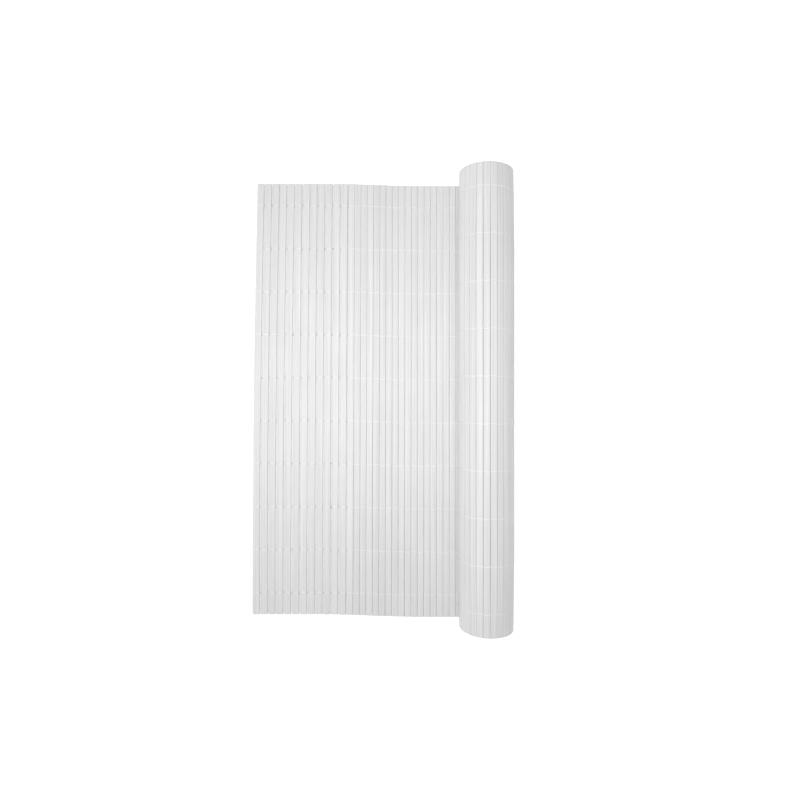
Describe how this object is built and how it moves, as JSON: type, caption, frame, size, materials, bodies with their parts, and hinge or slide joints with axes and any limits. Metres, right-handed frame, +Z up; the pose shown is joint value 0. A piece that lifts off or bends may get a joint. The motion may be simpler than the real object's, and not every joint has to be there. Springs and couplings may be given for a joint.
{
  "type": "pvc slat privacy screen, partly rolled",
  "caption": "White privacy screen mat of hollow flat-oval plastic slats laced with clear cord, one part laid flat and the rest wound into a roll resting on its end",
  "frame": {"origin": "middle of the screen's outline on the floor that it lies on", "axes": "+Z up, Y along the slats and the roll's axis, +X from the free end towards the roll"},
  "size_m": [0.8926, 1.5088, 0.1906],
  "materials": {
    "slat": "white rigid pvc with a satin skin",
    "cord": "clear nylon cord"
  },
  "bodies": {
    "root": {"flat_cord_01": "cord", "flat_cord_02": "cord", "flat_cord_03": "cord", "flat_cord_04": "cord", "flat_cord_05": "cord", "flat_cord_06": "cord", "flat_cord_07": "cord", "flat_cord_08": "cord", "flat_cord_09": "cord", "flat_cord_10": "cord", "flat_slat_01": "slat", "flat_slat_02": "slat", "flat_slat_03": "slat", "flat_slat_04": "slat", "flat_slat_05": "slat", "flat_slat_06": "slat", "flat_slat_07": "slat", "flat_slat_08": "slat", "flat_slat_09": "slat", "flat_slat_10": "slat", "flat_slat_11": "slat", "flat_slat_12": "slat", "flat_slat_13": "slat", "flat_slat_14": "slat", "flat_slat_15": "slat", "flat_slat_16": "slat", "flat_slat_17": "slat", "flat_slat_18": "slat", "flat_slat_19": "slat", "flat_slat_20": "slat", "flat_slat_21": "slat", "flat_slat_22": "slat", "flat_slat_23": "slat", "flat_slat_24": "slat", "flat_slat_25": "slat", "flat_slat_26": "slat", "flat_slat_27": "slat", "flat_slat_28": "slat", "flat_slat_29": "slat", "flat_slat_30": "slat", "flat_slat_31": "slat", "flat_slat_32": "slat", "flat_slat_33": "slat", "roll_cord_01": "cord", "roll_cord_02": "cord", "roll_cord_03": "cord", "roll_cord_04": "cord", "roll_cord_05": "cord", "roll_cord_06": "cord", "roll_cord_07": "cord", "roll_cord_08": "cord", "roll_cord_09": "cord", "roll_cord_10": "cord", "roll_turn_1": "slat", "roll_turn_2": "slat", "roll_turn_3": "slat", "roll_turn_4": "slat", "roll_turn_5": "slat"}
  },
  "joints": []
}
